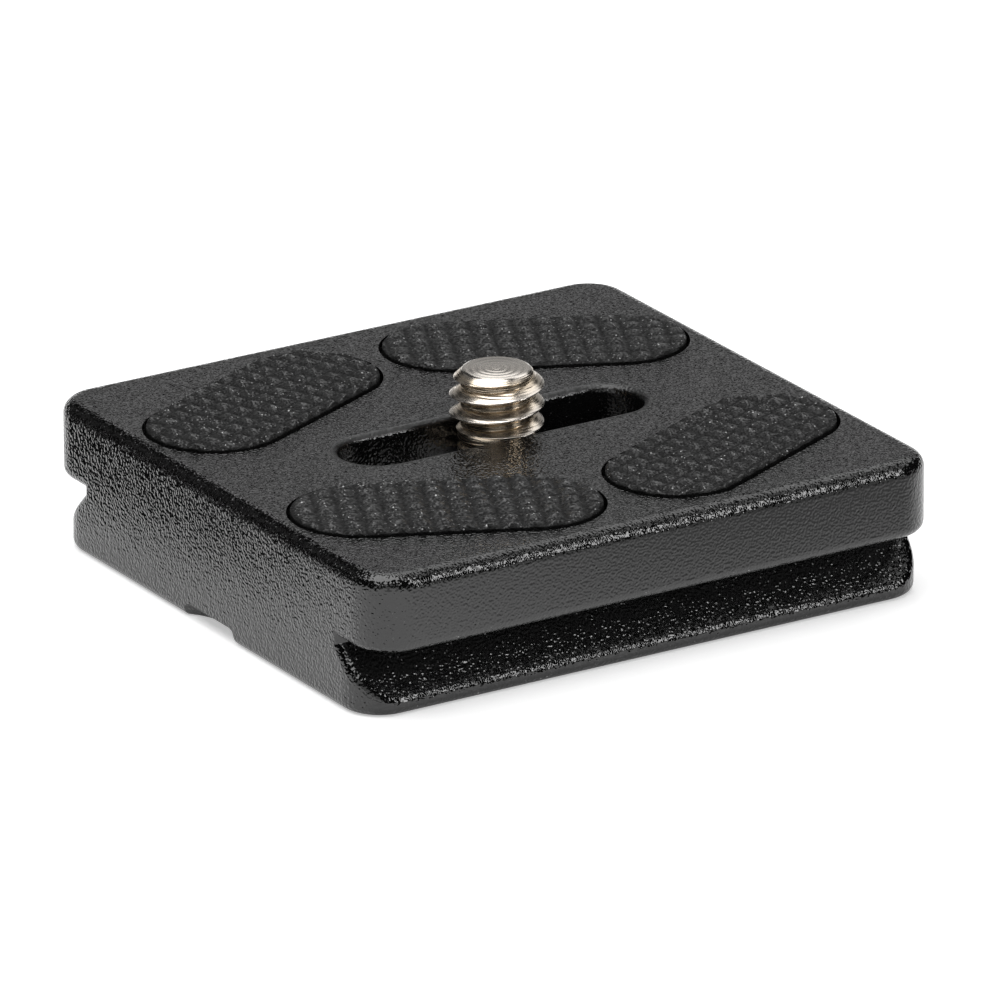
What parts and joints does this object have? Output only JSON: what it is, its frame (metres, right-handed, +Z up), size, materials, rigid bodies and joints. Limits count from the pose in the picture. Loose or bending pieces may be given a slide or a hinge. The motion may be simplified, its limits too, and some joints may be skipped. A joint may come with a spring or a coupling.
{
  "type": "tripod quick release plate",
  "caption": "Square dovetail camera plate with knurled rubber grip pads, a lengthwise slot, and a captive camera screw that slides, turns and has a folding D-ring underneath.",
  "frame": {"origin": "middle of the underside that the plate rests on", "axes": "+X along the dovetail and the slot, +Y across the plate, +Z up out of the camera seat"},
  "size_m": [0.043, 0.041, 0.0137],
  "materials": {
    "black_paint": "fine-grained black powder coat, semi-gloss",
    "pad_rubber": "matte moulded rubber",
    "bright_steel": "bright plated, turned"
  },
  "bodies": {
    "plate": {"plate_body": "black_paint", "grip_pad_back_left": "pad_rubber", "grip_pad_back_right": "pad_rubber", "grip_pad_front_left": "pad_rubber", "grip_pad_front_right": "pad_rubber"},
    "slider": {"slide_washer": "bright_steel"},
    "screw": {"camera_screw": "bright_steel"},
    "ring": {"d_ring": "bright_steel"}
  },
  "joints": [
    {"name": "screw_slide", "type": "slide", "parent": "plate", "child": "slider", "axis": [1, 0, 0], "range_m": [-0.009, 0.0082]},
    {"name": "screw_spin", "type": "hinge", "parent": "slider", "child": "screw", "pos_m": [0.0004, 0, 0], "axis": [0, 0, 1], "continuous": true},
    {"name": "ring_fold", "type": "hinge", "parent": "screw", "child": "ring", "pos_m": [0.0004, 0, 0.0034], "axis": [1, 0, 0], "range_deg": [0, 180]}
  ]
}
